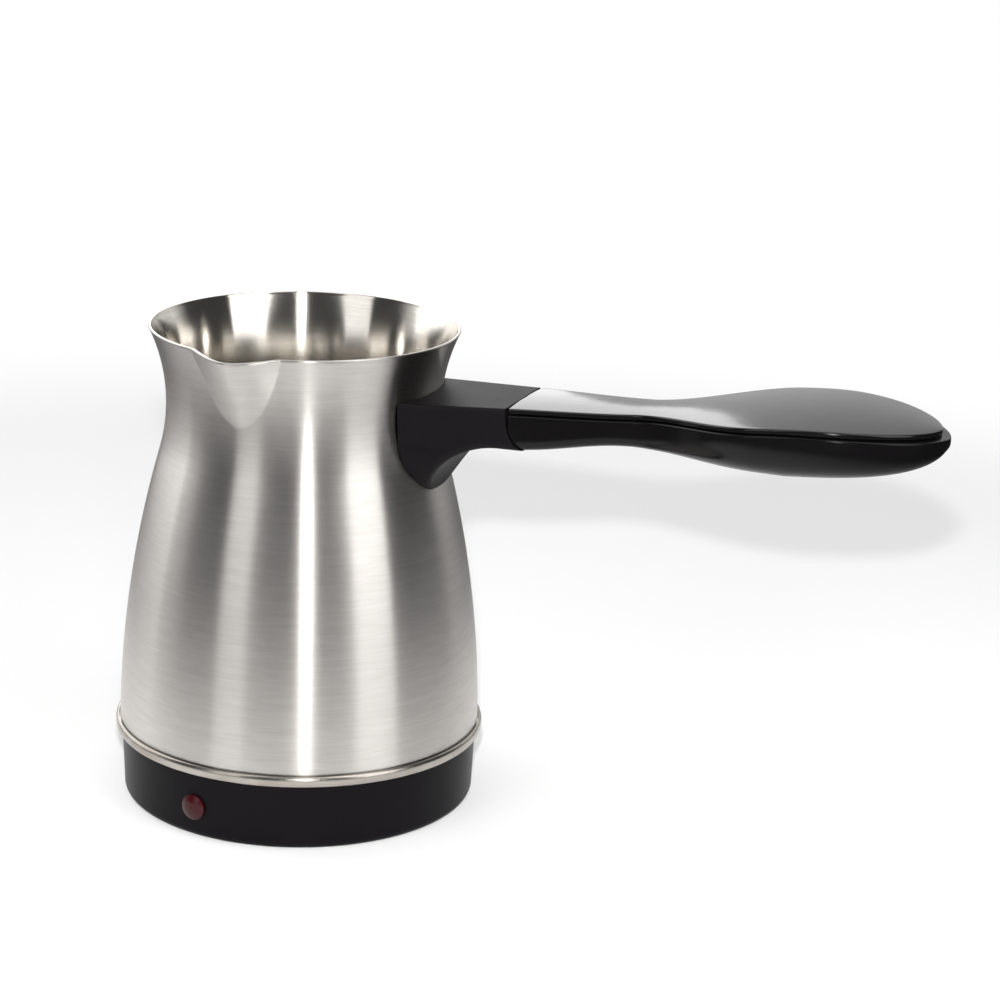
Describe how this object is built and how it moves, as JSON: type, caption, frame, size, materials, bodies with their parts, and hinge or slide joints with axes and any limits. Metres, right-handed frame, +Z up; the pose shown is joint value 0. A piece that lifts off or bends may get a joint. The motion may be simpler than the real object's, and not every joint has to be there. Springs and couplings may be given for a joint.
{
  "type": "electric coffee pot",
  "caption": "Waisted steel coffee pot with a pressed pouring lip, on a heated base with a pilot lamp, and a long handle that folds down on a hinge.",
  "frame": {"origin": "centre of the annular rim that the base stands on, on the vessel axis", "axes": "+X along the handle, +Z up, pouring lip towards -Y"},
  "size_m": [0.2258, 0.1012, 0.131],
  "materials": {
    "steel": "brushed",
    "bead": "polished",
    "bakelite": "satin",
    "bracket": "satin",
    "grip_gloss": "gloss",
    "lens": "gloss",
    "bulb": "clear",
    "silicone": "matt",
    "bush": "matt",
    "plate": "cast",
    "element_tube": "drawn",
    "zinc_steel": "zinc plated",
    "steel_strap": "pressed",
    "cast_zinc": "die cast",
    "tinned_brass": "tinned",
    "phenolic": "moulded",
    "nylon": "moulded"
  },
  "bodies": {
    "pot": {"base_seal": "silicone", "base_shell": "bakelite", "bottom_cover": "bakelite", "bottom_screws": "zinc_steel", "cord_gland": "bush", "earth_tag": "tinned_brass", "element_pins": "zinc_steel", "handle_bracket": "bracket", "handle_saddle": "steel_strap", "handle_screw": "zinc_steel", "heat_plate": "plate", "heating_element": "element_tube", "hinge_lug": "cast_zinc", "lamp_lens": "lens", "mounting_studs": "zinc_steel", "neon_lamp": "bulb", "stud_nuts": "zinc_steel", "terminal_block": "phenolic", "thermal_fuse": "tinned_brass", "thermostat": "phenolic", "trim_ring": "bead", "vessel": "steel"},
    "grip": {"grip_lower_shell": "grip_gloss", "grip_top_cover": "grip_gloss", "grip_screws": "zinc_steel", "hinge_pin": "zinc_steel", "hinge_washers": "nylon"}
  },
  "joints": [
    {"name": "handle_fold", "type": "hinge", "parent": "pot", "child": "grip", "pos_m": [0.073, 0, 0.1155], "axis": [0, 1, 0], "range_deg": [0, 85]}
  ]
}
